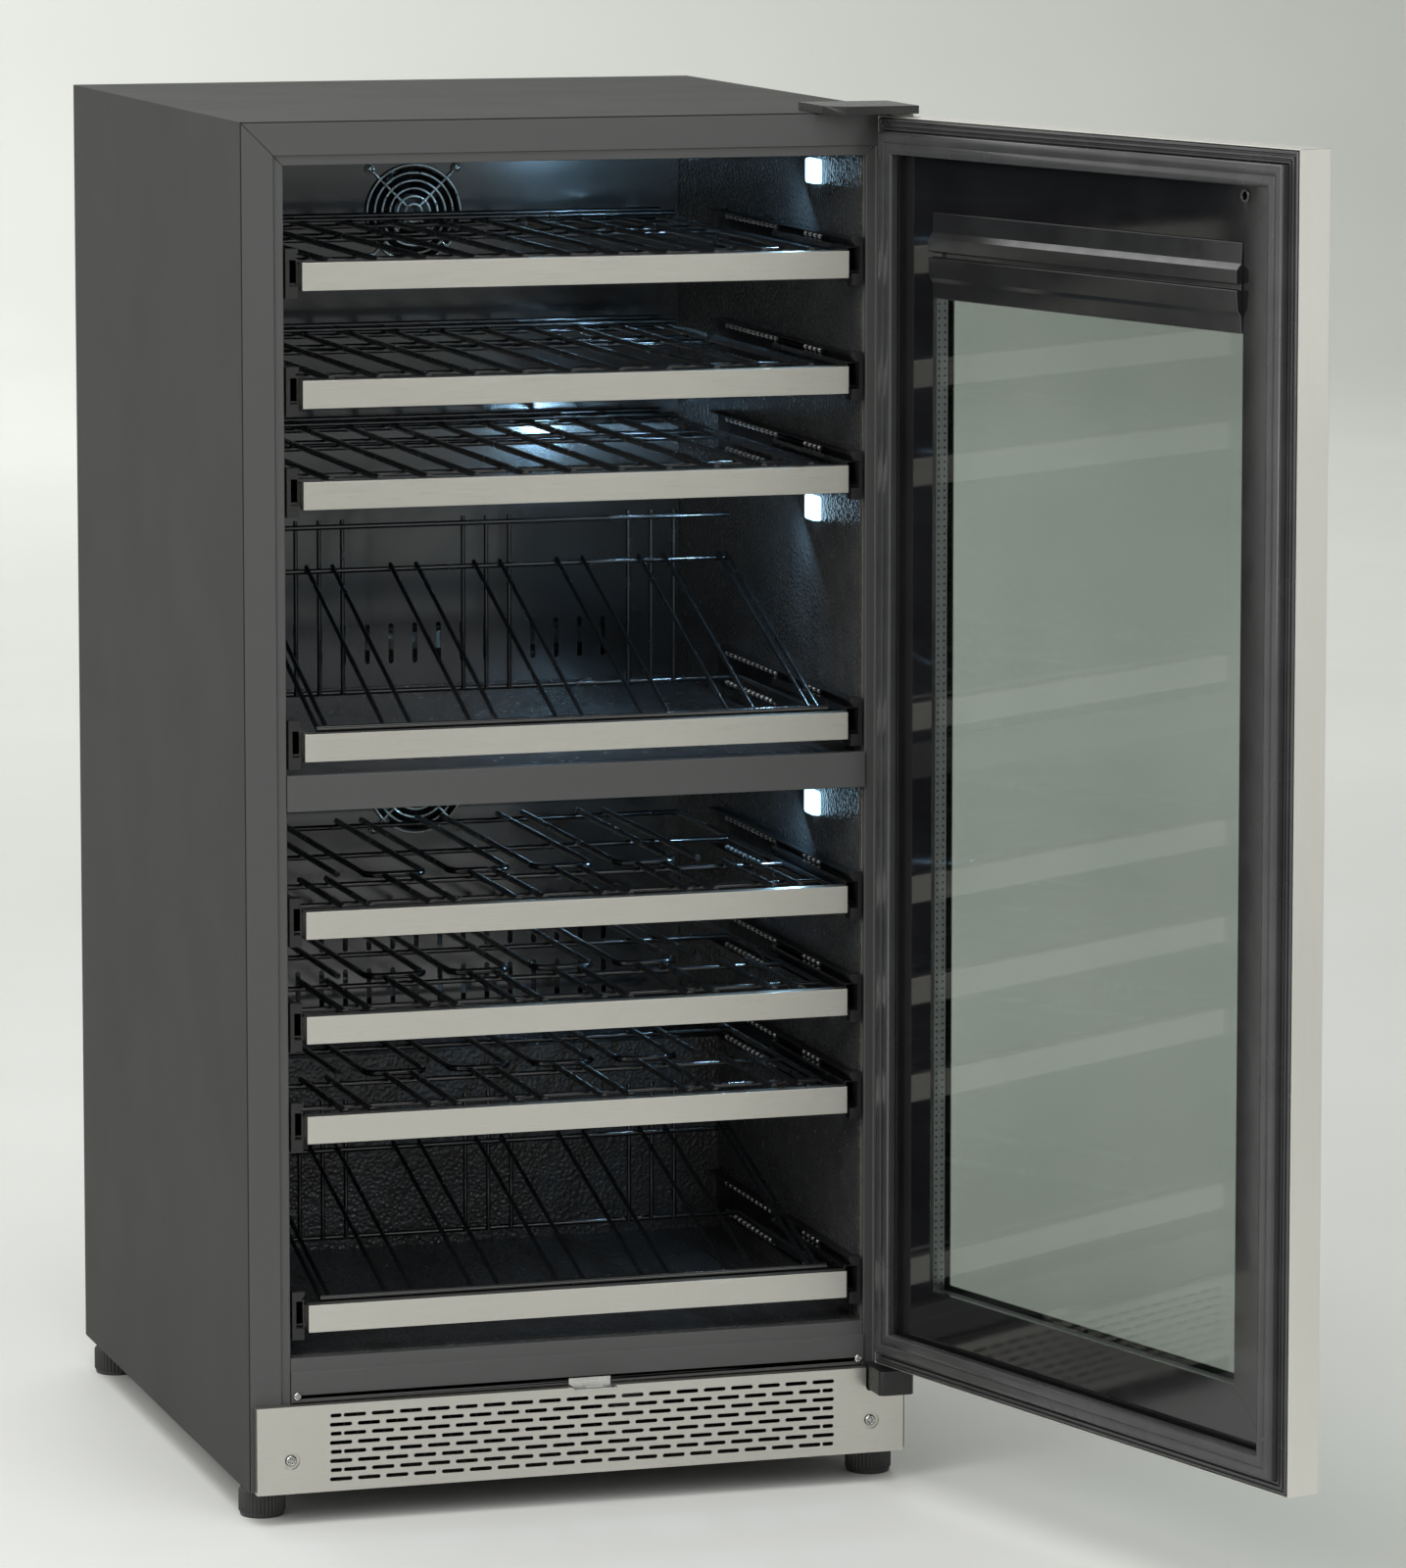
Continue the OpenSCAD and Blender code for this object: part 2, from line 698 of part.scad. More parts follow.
module glass_panes() {
    color([0.6, 0.68, 0.65, 0.4]) door_pose() {
        span([-236.5, -38.8, pane_z[0]], [236.5, -34.8, pane_z[1]]);
        span([-236.5, -22, pane_z[0]], [236.5, -18, pane_z[1]]);
    }
}

module glass_spacer() {
    z = [pane_z[0] + 6, pane_z[1] - 6];
    color([0.75, 0.76, 0.78]) door_pose() upright(-34.6, -22.2) rect_ring(229.5, z, 0, 6);
}

// Stepped moulding across the top of the glass, with a long screw slot.
module control_housing() {
    profile = [[-17.8, 0], [-13, 0], [-12, 14], [-9, 18], [-7.5, 35.5], [-12, 35.5], [-12, 40.5],
        [-7.5, 40.5], [-7.5, 52], [-12, 57], [-13, 74.2], [-17.8, 74.2]];
    low_edge = door_z[1] - 153;
    color(black) door_pose() along_x(-218.4, 218.4) translate([0, low_edge]) polygon(profile);
}

module hinge_bush(z, up) {
    length = 19;
    translate([hinge[0], hinge[1], z]) mirror([0, 0, up ? 0 : 1]) difference() {
        union() {
            translate([0, 0, -length]) cylinder(r = 7, h = length + 0.5);
            translate([0, 0, gap]) cylinder(r = 9.5, h = 1.5);
        }
        translate([0, 0, -length - 1]) cylinder(r = pin_r + 0.05, h = length + 4);
    }
}

module hinge_bushes() {
    color([0.85, 0.85, 0.82]) door_pose() {
        hinge_bush(door_z[1], true);
        hinge_bush(door_z[0], false);
    }
}

// ---- shelves ----

// Fixed half of a slide: a C-shaped rail on the wall, drawn for the right side.
module fixed_rail(z) {
    h = rail_h / 2;
    x1 = liner_x - gap;
    x0 = x1 - 9.3;
    t = 1.2;
    upright(rail_y[0], rail_y[1]) translate([0, z]) polygon([[x1, -h], [x1, h], [x0, h], [x0, h - t], [x1 - t, h - t],
        [x1 - t, t - h], [x0, t - h], [x0, -h]]);
}

module outer_rails() {
    color(black) at_front() for (z = shelf_z) both_sides() fixed_rail(z - rail_drop);
}

// Plastic clip that holds the front end of a fixed rail and keeps the shelf's bar in line.
module rail_clip(z) {
    x1 = liner_x - gap;
    upright(3, 15.7) translate([0, z]) {
        polygon([[x1, -22], [x1, 20], [x1 - 11, 20], [x1 - 11, 17], [x1 - 7, 12], [x1 - 3.4, 12], [x1 - 3.4, -12],
            [x1 - 10.5, -12], [x1 - 10.5, -22]]);
    }
}

module rail_clips() {
    color(black) at_front() for (z = shelf_z) both_sides() rail_clip(z - rail_drop);
}

// Moving half of a slide: a shallow channel with a ledge under the rack and a tab behind the front bar.
module runner(top) {
    z = top - rail_drop;
    x = 245.3;
    t = 1.2;
    upright(bar_d + 0.1, runner_y) translate([0, z]) {
        polygon([[x, -11], [x + 8.7, -11], [x + 8.7, -11 + t], [x + t, -11 + t], [x + t, 11 - t], [x + 8.7, 11 - t],
            [x + 8.7, 11], [x, 11]]);
        translate([x - 9.3, -1.1]) square([10, t]);
    }
    span([228, bar_d + 0.1, top - 22], [x + t, bar_d + 1.9, top - 2]);
}

// Parallel wires at the given x places, from a to b in y and z.
module depth_wires(places, a, b, r) {
    for (x = places) wire([x, a[0], a[1]], [x, b[0], b[1]], r);
}

module cross_wire(y, z, half) {
    wire([-half, y, z], [half, y, z], cross_r);
}

// Closed loop of heavy wire under the depth wires.
module rack_loop(z, back) {
    front = 18.5;
    for (y = [front, back]) cross_wire(y, z, side_x + 1);
    both_sides() wire([side_x, front - 1.5, z], [side_x, back + 1.5, z], side_r);
}

// Flat rack of evenly spaced wires with a double stop on top at the back.
module even_rack(top) {
    z = top + heavy_z;
    rack_loop(z - stacked, rack_y);
    for (y = [100, 335, 385]) cross_wire(y, z - stacked, side_x);
    for (y = [rack_y - 48, rack_y]) cross_wire(y, z + stacked, end_wire_x + 4);
    depth_wires([for (k = [-5:5]) k * even_pitch], [16.5, z], [rack_y + 4, z], heavy_r);
}

// Rounded front end that joins two wires into a hairpin.
module hairpin_turn(x0, x1, y, z) {
    bend = 12;
    wire([x0 + bend, y - bend, z], [x1 - bend, y - bend, z], heavy_r);
    for (end = [[x0 + bend, 180], [x1 - bend, 270]]) translate([end[0], y, z]) rotate(end[1])
        rotate_extrude(angle = 90) translate([bend, 0]) circle(r = heavy_r, $fn = 24);
}

// Flat rack with pairs of wires in front and hairpins behind, half a bottle place across from each other.
module hairpin_rack(top) {
    z = top + heavy_z;
    half = wire_pair / 2;
    turn_y = 197;
    front_x = [for (k = [-3:2]) for (s = [-1, 1]) (k + 0.5) * bottle_pitch + s * half];
    rack_loop(z - stacked, rack_y);
    for (y = [65, 170, 330]) cross_wire(y, z - stacked, side_x);
    depth_wires(front_x, [16.5, z], [176, z], heavy_r);
    depth_wires(paired_x, [turn_y, z], [rack_y + 4, z], heavy_r);
    for (k = [-2:1]) hairpin_turn(k * bottle_pitch + half, (k + 1) * bottle_pitch - half, turn_y, z);
}

// Rack whose wires climb to a fence, so that a bottle lies with its neck up.
module sloping_rack(top, rise) {
    z = top - 7.1;
    high = top - 3.5 + rise;
    post_y = fence_y + 3.4;
    slope_x = concat([-226, -end_wire_x], paired_x, [end_wire_x, 226]);
    rack_loop(z, fence_y + 6.8);
    wire([-230, 17, top + 2], [230, 17, top + 2], heavy_r);
    depth_wires(slope_x, [18.5, top - 3.5], [fence_y + 2, high + 0.6], wire_r);
    cross_wire(fence_y, high - 3.4, end_wire_x + 10);
    cross_wire(fence_y, high + 36, end_wire_x + 10);
    for (k = [-1:1]) for (s = [-1:1]) {
        x = k * 2 * bottle_pitch + s * 21.5;
        wire([x, post_y, z - 1], [x, post_y, high + 42], wire_r);
    }
}

module rack(i) {
    top = shelf_z[i];
    color(black) at_front() {
        if (shelf_rise[i] > 0) sloping_rack(top, shelf_rise[i]);
        else if (top > divider_z[1]) even_rack(top);
        else hairpin_rack(top);
        both_sides() runner(top);
    }
}

module front_bar(i) {
    top = shelf_z[i];
    t = 1.2;
    color(steel) at_front() difference() {
        span([-bar_w / 2, 0, top - bar_h], [bar_w / 2, bar_d, top]);
        span([-bar_w / 2 + t, t, top - bar_h + t], [bar_w / 2 - t, bar_d + 1, top - t]);
    }
}

// A bearing ball with its poles along the rail, inside the strip.
module ball() {
    rotate([90, 0, 0]) sphere(r = ball_r, $fn = 20);
}

// Ball cages of one shelf, left and right: a bent strip that carries two rows of balls.
module ball_cage(z) {
    pitch = 13.4;
    ball_x = 251.6;
    race = 13.65;
    t = 0.8;
    upright(cage_y[0], cage_y[1]) translate([0, z]) polygon([[255.7, -race - t / 2], [255.7, race + t / 2],
        [249.8, race + t / 2], [249.8, race - t / 2], [255, race - t / 2], [255, t / 2 - race],
        [249.8, t / 2 - race], [249.8, -race - t / 2]]);
    for (s = [-1, 1]) {
        for (k = [0:11]) translate([ball_x, cage_y[1] - 5 - k * pitch, z + s * race]) ball();
        for (k = [0:3]) translate([ball_x, cage_y[0] + 5 + k * pitch, z + s * race]) ball();
    }
}

module ball_cages(i) {
    color(plain_steel) at_front() both_sides() ball_cage(shelf_z[i] - rail_drop);
}

// ---- what is drawn ----

outer_case();
back_plate();
base_plate();
front_frame();
foam_core();
upper_liner();
lower_liner();
air_panels();
fan_guards();
small_screws();
fan_frames();
evaporators();
led_lamps();
outer_rails();
rail_clips();
kickplate();
kickplate_screws();
lock_strike();
hinge_brackets();
hinge_covers();
compressor();
condenser();
mains_inlet();
upper_fan();
lower_fan();
foot_front_left();
foot_front_right();
foot_rear_left();
foot_rear_right();
door_frame();
door_inner_frame();
door_gasket();
glass_panes();
glass_spacer();
control_housing();
hinge_bushes();
for (i = [0:shelf_count - 1]) {
    rack(i);
    front_bar(i);
    ball_cages(i);
}
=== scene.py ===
"""Looks of the wine cooler: surfaces, fine pieces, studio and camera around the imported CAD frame."""

import json
import math

import bpy
from mathutils import Matrix, Vector


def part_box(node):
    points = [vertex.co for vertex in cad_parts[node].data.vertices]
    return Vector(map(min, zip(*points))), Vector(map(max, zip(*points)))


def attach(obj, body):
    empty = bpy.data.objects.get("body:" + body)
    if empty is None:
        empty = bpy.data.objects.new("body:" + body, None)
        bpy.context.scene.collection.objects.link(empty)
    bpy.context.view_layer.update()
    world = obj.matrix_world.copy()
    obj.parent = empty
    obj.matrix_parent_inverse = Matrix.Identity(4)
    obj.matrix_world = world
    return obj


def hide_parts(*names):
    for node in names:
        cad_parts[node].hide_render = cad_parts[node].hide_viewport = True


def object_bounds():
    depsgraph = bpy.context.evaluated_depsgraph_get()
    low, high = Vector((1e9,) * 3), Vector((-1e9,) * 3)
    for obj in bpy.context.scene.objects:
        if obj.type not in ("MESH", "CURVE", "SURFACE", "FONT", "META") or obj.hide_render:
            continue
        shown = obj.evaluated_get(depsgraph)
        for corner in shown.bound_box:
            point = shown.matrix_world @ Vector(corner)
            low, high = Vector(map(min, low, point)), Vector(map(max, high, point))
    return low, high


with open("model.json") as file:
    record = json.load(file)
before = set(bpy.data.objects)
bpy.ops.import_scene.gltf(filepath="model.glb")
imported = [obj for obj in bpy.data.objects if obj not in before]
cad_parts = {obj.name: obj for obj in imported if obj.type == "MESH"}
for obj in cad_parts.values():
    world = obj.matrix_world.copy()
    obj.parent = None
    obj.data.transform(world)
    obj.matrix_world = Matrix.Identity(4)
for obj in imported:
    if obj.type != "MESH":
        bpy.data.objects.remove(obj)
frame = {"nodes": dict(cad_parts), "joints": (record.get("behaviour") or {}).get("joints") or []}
cad_low, cad_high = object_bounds()
MM = 0.001

# ---- places read from the frame ----

joints = {joint["name"]: joint for joint in frame["joints"]}
DOOR_OPEN = -joints["door_hinge"]["range_deg"][0]
HINGE = Vector(joints["door_hinge"]["pos_m"])
HINGE.z = 0
# Door pieces are drawn closed and swung to the rest pose with this.
SWING = Matrix.Rotation(math.radians(DOOR_OPEN), 4, "Z")
DOOR_POSE = Matrix.Translation(HINGE) @ SWING @ Matrix.Translation(-HINGE)
CLOSED = DOOR_POSE.inverted()


def closed_box(node):
    """Lowest and highest corner of a door node when the door is closed."""
    points = [CLOSED @ vertex.co for vertex in frame["nodes"][node].data.vertices]
    low = Vector(min(p[axis] for p in points) for axis in range(3))
    high = Vector(max(p[axis] for p in points) for axis in range(3))
    return low, high


# ---- surfaces ----


class Surface:
    """One material: a Principled shader with helpers for procedural colour, roughness and relief."""

    def __init__(self, name, **values):
        self.material = bpy.data.materials.new(name)
        self.material.use_nodes = True
        self.tree = self.material.node_tree
        self.shader = self.tree.nodes["Principled BSDF"]
        self.output = self.tree.nodes["Material Output"]
        self.place = self.add("ShaderNodeTexCoord").outputs["Object"]
        self.normal = None
        for socket, value in values.items():
            self.shader.inputs[socket.replace("_", " ")].default_value = value

    def add(self, kind, inputs=None, **settings):
        """Adds a node with its settings, and links or fills its inputs."""
        node = self.tree.nodes.new(kind)
        for key, value in settings.items():
            setattr(node, key, value)
        for key, value in (inputs or {}).items():
            if isinstance(value, bpy.types.NodeSocket):
                self.tree.links.new(value, node.inputs[key])
            else:
                node.inputs[key].default_value = value
        return node

    def noise(self, scale, detail=3.0, stretch=(1, 1, 1), roughness=0.5):
        """Noise of `scale` features a metre, drawn out along the axes where stretch is below 1."""
        mapping = self.add("ShaderNodeMapping", {"Vector": self.place, "Scale": stretch})
        made = self.add(
            "ShaderNodeTexNoise",
            {"Vector": mapping.outputs[0], "Scale": scale, "Detail": detail, "Roughness": roughness},
        )
        return made.outputs["Fac"]

    def spread(self, factor, low, high, start=0.3, end=0.7):
        """Turns a 0 to 1 pattern into values from low to high."""
        made = self.add(
            "ShaderNodeMapRange",
            {"Value": factor, "From Min": start, "From Max": end, "To Min": low, "To Max": high},
        )
        return made.outputs["Result"]

    def colours(self, factor, dark, light, start=0.3, end=0.7):
        """Turns a 0 to 1 pattern into colours from dark to light."""
        ramp = self.add("ShaderNodeValToRGB", {"Fac": factor})
        ramp.color_ramp.elements[0].position = start
        ramp.color_ramp.elements[0].color = (*dark, 1)
        ramp.color_ramp.elements[1].position = end
        ramp.color_ramp.elements[1].color = (*light, 1)
        return ramp.outputs["Color"]

    def paint(self, colour, roughness=None):
        """Links a colour, and a roughness if there is one, to the shader."""
        self.tree.links.new(colour, self.shader.inputs["Base Color"])
        if roughness is not None:
            self.tree.links.new(roughness, self.shader.inputs["Roughness"])

    def relief(self, height, strength, distance):
        """Adds a bump on top of any earlier one."""
        bump = self.add("ShaderNodeBump", {"Height": height, "Strength": strength, "Distance": distance})
        if self.normal is not None:
            self.tree.links.new(self.normal, bump.inputs["Normal"])
        self.normal = bump.outputs["Normal"]
        self.tree.links.new(self.normal, self.shader.inputs["Normal"])


def shades(colour, darker, lighter):
    """A darker and a lighter shade of a colour."""
    return [tuple(min(1, c * factor) for c in colour) for factor in (darker, lighter)]


def powder_coat(name, colour, roughness, shine=0.45):
    """Sprayed paint with fine orange peel and faint smudges."""
    surface = Surface(name, Specular_IOR_Level=shine)
    smudge = surface.noise(3.5, detail=6)
    surface.paint(
        surface.colours(smudge, *shades(colour, 0.95, 1.06), 0.1, 0.9),
        surface.spread(surface.noise(9, detail=6), roughness - 0.015, roughness + 0.02),
    )
    surface.relief(surface.noise(900, detail=2), 0.25, 0.15 * MM)
    return surface.material


def gloss_paint(name, colour, roughness, coat_roughness=0.08):
    """Smooth black moulding or wire coat, with slow waves that bend reflections."""
    surface = Surface(name, Specular_IOR_Level=0.5, Coat_Weight=0.5, Coat_Roughness=coat_roughness)
    surface.paint(
        surface.colours(surface.noise(14), *shades(colour, 0.8, 1.25)),
        surface.spread(surface.noise(40, detail=5), roughness * 0.75, roughness * 1.35),
    )
    surface.relief(surface.noise(22, detail=1), 0.12, 0.5 * MM)
    return surface.material


def brushed_steel(name, grain, colour, roughness=0.3):
    """Stainless sheet with hairlines along one axis: grain is 0, 1 or 2 for x, y or z."""
    stretch = [1.0, 1.0, 1.0]
    stretch[grain] = 0.012
    surface = Surface(name, Metallic=1.0)
    hairlines = surface.noise(1400, detail=3, stretch=stretch, roughness=0.6)
    clouds = surface.noise(5, detail=4)
    tone = surface.add("ShaderNodeMix", {"Factor": 0.6, "A": hairlines, "B": clouds}).outputs["Result"]
    surface.paint(
        surface.colours(tone, *shades(colour, 0.94, 1.04)),
        surface.spread(hairlines, roughness - 0.04, roughness + 0.06),
    )
    surface.relief(hairlines, 0.06, 0.05 * MM)
    return surface.material


def zinc(name, colour=(0.62, 0.62, 0.6), roughness=0.32):
    """Plated or plain metal with fine blotches."""
    surface = Surface(name, Metallic=1.0)
    blotches = surface.noise(160, detail=5)
    surface.paint(
        surface.colours(blotches, *shades(colour, 0.8, 1)),
        surface.spread(blotches, roughness - 0.08, roughness + 0.1),
    )
    surface.relief(surface.noise(1200, detail=2), 0.1, 0.05 * MM)
    return surface.material


def stucco_liner(name):
    """Glossy black liner sheet with an embossed pebble pattern."""
    surface = Surface(name, Specular_IOR_Level=0.5)
    cells = surface.add(
        "ShaderNodeTexVoronoi",
        {"Vector": surface.place, "Scale": 290.0, "Smoothness": 0.35, "Randomness": 1.0},
        feature="SMOOTH_F1",
    )
    surface.paint(
        surface.colours(surface.noise(30), (0.042, 0.042, 0.043), (0.06, 0.06, 0.061)),
        surface.spread(surface.noise(90, detail=4), 0.17, 0.28),
    )
    surface.relief(cells.outputs["Distance"], 0.8, 1.1 * MM)
    surface.relief(surface.noise(620, detail=2), 0.2, 0.2 * MM)
    return surface.material


def moulded_plastic(name, colour, roughness):
    """Moulded plastic or foam with a fine grain."""
    surface = Surface(name, Specular_IOR_Level=0.45)
    surface.paint(
        surface.colours(surface.noise(60), *shades(colour, 0.85, 1.2)),
        surface.spread(surface.noise(300, detail=3), roughness - 0.06, roughness + 0.08),
    )
    surface.relief(surface.noise(1500, detail=2), 0.18, 0.08 * MM)
    return surface.material


def rubber(name, colour):
    """Shiny extruded seal with slow waves along it."""
    surface = Surface(name, Specular_IOR_Level=0.6)
    surface.paint(
        surface.colours(surface.noise(25, detail=4), *shades(colour, 0.85, 1.15)),
        surface.spread(surface.noise(12, detail=2), 0.2, 0.3),
    )
    surface.relief(surface.noise(30, detail=1), 0.1, 0.4 * MM)
    return surface.material


def satin_panel(name):
    """Dark satin sheet of the air panels."""
    surface = Surface(name, Metallic=0.3, Specular_IOR_Level=0.9, Coat_Weight=0.7, Coat_Roughness=0.1)
    hairlines = surface.noise(900, detail=3, stretch=(1, 1, 0.02))
    surface.paint(
        surface.colours(surface.noise(6, detail=5), (0.03, 0.03, 0.031), (0.042, 0.043, 0.045)),
        surface.spread(hairlines, 0.13, 0.19),
    )
    surface.relief(surface.noise(500, detail=2), 0.05, 0.05 * MM)
    return surface.material


def door_glass(name):
    """Grey-green solar glass. Shadow rays pass it, so lamps reach what is behind."""
    surface = Surface(name, Transmission_Weight=1.0, IOR=1.31)
    smears = surface.noise(5, detail=5)
    surface.paint(
        surface.colours(smears, (0.6, 0.643, 0.615), (0.635, 0.675, 0.645)),
        surface.spread(surface.noise(30, detail=5), 0.0, 0.02),
    )
    clear = surface.add("ShaderNodeBsdfTransparent", {"Color": (0.72, 0.77, 0.74, 1)})
    ray = surface.add("ShaderNodeLightPath").outputs["Is Shadow Ray"]
    mixed = surface.add(
        "ShaderNodeMixShader", {0: ray, 1: surface.shader.outputs[0], 2: clear.outputs[0]}
    )
    surface.tree.links.new(mixed.outputs[0], surface.output.inputs["Surface"])
    return surface.material


def perforated_spacer(name):
    """Aluminium spacer bar with two rows of breathing holes, laid out in the closed door's axes."""
    low, high = closed_box("glass_spacer")
    bar, hole = 6 * MM, 0.9 * MM
    face_x = high.x - bar
    # A whole number of steps from one upright's face to the other's puts holes on both.
    steps_across = 72
    pitch = 2 * face_x / steps_across
    first_hole = (face_x, (low.y + high.y - pitch) / 2, low.z + bar)
    surface = Surface(name, Metallic=0.9)
    grain = surface.noise(300, detail=4)
    turned = surface.add(
        "ShaderNodeVectorRotate",
        {"Vector": surface.place, "Center": HINGE, "Axis": (0, 0, 1), "Angle": -math.radians(DOOR_OPEN)},
    )
    moved = surface.add(
        "ShaderNodeVectorMath", {0: turned.outputs[0], 1: first_hole}, operation="SUBTRACT"
    )
    cell = surface.add(
        "ShaderNodeVectorMath",
        {0: moved.outputs[0], 1: (pitch / 2,) * 3, 2: (-pitch / 2,) * 3},
        operation="WRAP",
    )
    away = surface.add("ShaderNodeVectorMath", {0: cell.outputs[0]}, operation="LENGTH").outputs["Value"]
    hole_mask = surface.spread(away, 0.12, 1.0, hole, hole * 1.5)
    metal = surface.colours(grain, (0.28, 0.27, 0.29), (0.38, 0.37, 0.39))
    shade = surface.add(
        "ShaderNodeMix", {"Factor": hole_mask, "A": (0.02, 0.02, 0.02, 1), "B": metal}, data_type="RGBA"
    )
    surface.paint(shade.outputs[2], surface.spread(grain, 0.28, 0.45))
    return surface.material


def bearing_steel_painted_glint(name):
    """Polished steel balls whose near-white, mostly diffuse colour is partly a painted highlight, bright
    even in the dark of the rails.
    """
    surface = Surface(name, Metallic=0.3, Specular_IOR_Level=0.9)
    film = surface.noise(500, detail=3)
    surface.paint(
        # Near-white colour with little metal in it: steel is light, but this is painted highlight, so
        # the balls show as bright dots in the rails' shade.
        surface.colours(film, (0.78, 0.78, 0.78), (0.92, 0.92, 0.92)),
        surface.spread(film, 0.1, 0.2),
    )
    surface.relief(film, 0.05, 0.03 * MM)
    return surface.material


def lamp_lens(name, colour, strength):
    """Milky lens that glows."""
    surface = Surface(name, Roughness=0.3)
    cloud = surface.noise(70, detail=3)
    surface.paint(surface.colours(cloud, (0.85, 0.92, 1.0), (0.97, 0.99, 1.0)))
    surface.shader.inputs["Emission Color"].default_value = (*colour, 1)
    surface.shader.inputs["Emission Strength"].default_value = strength
    return surface.material


LOOKS = {
    "charcoal": powder_coat("charcoal_powder_coat", (0.034, 0.034, 0.033), 0.52, 0.08),
    "frame": powder_coat("frame_powder_coat", (0.07, 0.07, 0.0705), 0.34),
    "liner": stucco_liner("stucco_liner"),
    "panel": satin_panel("satin_panel"),
    "wire": gloss_paint("wire_coat", (0.007, 0.007, 0.0075), 0.22),
    "rail": powder_coat("rail_coat", (0.009, 0.009, 0.0095), 0.3),
    "plastic": moulded_plastic("black_plastic", (0.01, 0.01, 0.0105), 0.36),
    "foot": moulded_plastic("foot_plastic", (0.03, 0.03, 0.0305), 0.42),
    "cage": zinc("cage_strip", (0.05, 0.05, 0.052), 0.4),
    "ball": bearing_steel_painted_glint("bearing_steel_painted_glint"),
    "steel_x": brushed_steel("brushed_steel_along", 0, (0.57, 0.555, 0.515)),
    "steel_z": brushed_steel("brushed_steel_upright", 2, (0.74, 0.725, 0.685), 0.36),
    "zinc": zinc("zinc_plate"),
    "gloss": gloss_paint("gloss_moulding", (0.008, 0.008, 0.009), 0.07),
    "housing": gloss_paint("housing_moulding", (0.014, 0.014, 0.015), 0.2, 0.2),
    "rubber": rubber("grey_gasket", (0.045, 0.045, 0.047)),
    "glass": door_glass("tinted_glass"),
    "spacer": perforated_spacer("spacer_bar"),
    "aluminium": zinc("cold_plate", (0.75, 0.76, 0.77), 0.4),
    "lamp": lamp_lens("lamp_lens", (0.42, 0.75, 1.0), 2.4),
    "screw": zinc("screw_plate", (0.5, 0.5, 0.49), 0.16),
    "white": moulded_plastic("white_plastic", (0.72, 0.72, 0.68), 0.4),
    "foam": moulded_plastic("foam", (0.7, 0.62, 0.35), 0.8),
}

NODE_LOOKS = {
    "charcoal": ["outer_case", "back_plate"],
    "frame": ["front_frame"],
    "liner": ["upper_liner", "lower_liner"],
    "panel": ["air_panels"],
    "wire": ["condenser", "compressor"],
    "rail": ["outer_rails"],
    "plastic": ["fan_frames", "rail_clips", "hinge_covers", "mains_inlet", "upper_fan", "lower_fan",
                "foot_front_left", "foot_front_right", "foot_rear_left", "foot_rear_right"],
    "steel_x": ["kickplate"],
    "steel_z": ["door_frame"],
    "zinc": ["base_plate", "small_screws", "kickplate_screws", "lock_strike", "hinge_brackets",
             "fan_guards"],
    "cage": [],
    "gloss": ["door_inner_frame"],
    "housing": ["control_housing"],
    "rubber": ["door_gasket"],
    "glass": ["glass_panes"],
    "spacer": ["glass_spacer"],
    "aluminium": ["evaporators"],
    "lamp": ["led_lamps"],
    "white": ["hinge_bushes"],
    "foam": ["foam_core"],
}
for name in frame["nodes"]:
    kind = name.rsplit("_", 1)[0]
    if kind == "rack":
        NODE_LOOKS["wire"].append(name)
    if kind == "front_bar":
        NODE_LOOKS["steel_x"].append(name)
    if kind == "ball_cages":
        NODE_LOOKS["cage"].append(name)


def give(obj, look):
    """Puts one look on the whole of a piece."""
    obj.data.materials.clear()
    obj.data.materials.append(LOOKS[look])


def shine_balls(obj):
    """Gives a ball cage's round faces the look of balls. Its strip's faces lie along the axes."""
    along_axis = 0.995
    obj.data.materials.append(LOOKS["ball"])
    for polygon in obj.data.polygons:
        polygon.material_index = int(max(abs(c) for c in polygon.normal) < along_axis)


for look, names in NODE_LOOKS.items():
    for name in names:
        give(frame["nodes"][name], look)
for name in NODE_LOOKS["cage"]:
    shine_balls(frame["nodes"][name])


def soften(node, width):
    """Rounds the sharp edges of a CAD node."""
    obj = frame["nodes"][node]
    weld = obj.modifiers.new("weld", "WELD")
    weld.merge_threshold = 0.005 * MM
    bevel = obj.modifiers.new("bevel", "BEVEL")
    bevel.width = width
    bevel.segments = 2
    bevel.limit_method = "ANGLE"
    bevel.angle_limit = math.radians(50)
    bevel.harden_normals = True


# Width of the rounding, in millimetres.
SOFT_EDGES = {
    "outer_case": 0.4, "front_frame": 0.7, "door_frame": 0.45, "hinge_covers": 1.6, "led_lamps": 2.2,
    "control_housing": 1.1, "lock_strike": 0.35, "door_inner_frame": 0.25, "hinge_brackets": 0.5,
}
for shelf in range(1, 9):
    SOFT_EDGES[f"front_bar_{shelf}"] = 0.5
for name, width in SOFT_EDGES.items():
    soften(name, width * MM)

# ---- fine pieces ----


def piece(name, vertices, faces, body, look, replaces=(), sharp=35):
    """Makes a mesh in the shared frame, gives it its look and lets it ride on a body."""
    mesh = bpy.data.meshes.new(name)
    mesh.from_pydata([tuple(v) for v in vertices], [], faces)
    mesh.validate()
    mesh.polygons.foreach_set("use_smooth", [True] * len(mesh.polygons))
    mesh.set_sharp_from_angle(angle=math.radians(sharp))
    obj = bpy.data.objects.new(name, mesh)
    bpy.context.scene.collection.objects.link(obj)
    give(obj, look)
    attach(obj, body)
    if replaces:
        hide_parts(*replaces)


def rings_to_mesh(rings):
    """Vertices and faces of a skin over rings of equally many points. Both ends are capped."""
    count = len(rings[0])
    vertices = [point for ring in rings for point in ring]
    faces = []
    for r in range(len(rings) - 1):
        for k in range(count):
            a, b = r * count + k, r * count + (k + 1) % count
            faces.append((a, b, b + count, a + count))
    last = (len(rings) - 1) * count
    faces.append(tuple(reversed(range(count))))
    faces.append(tuple(range(last, last + count)))
    return vertices, faces


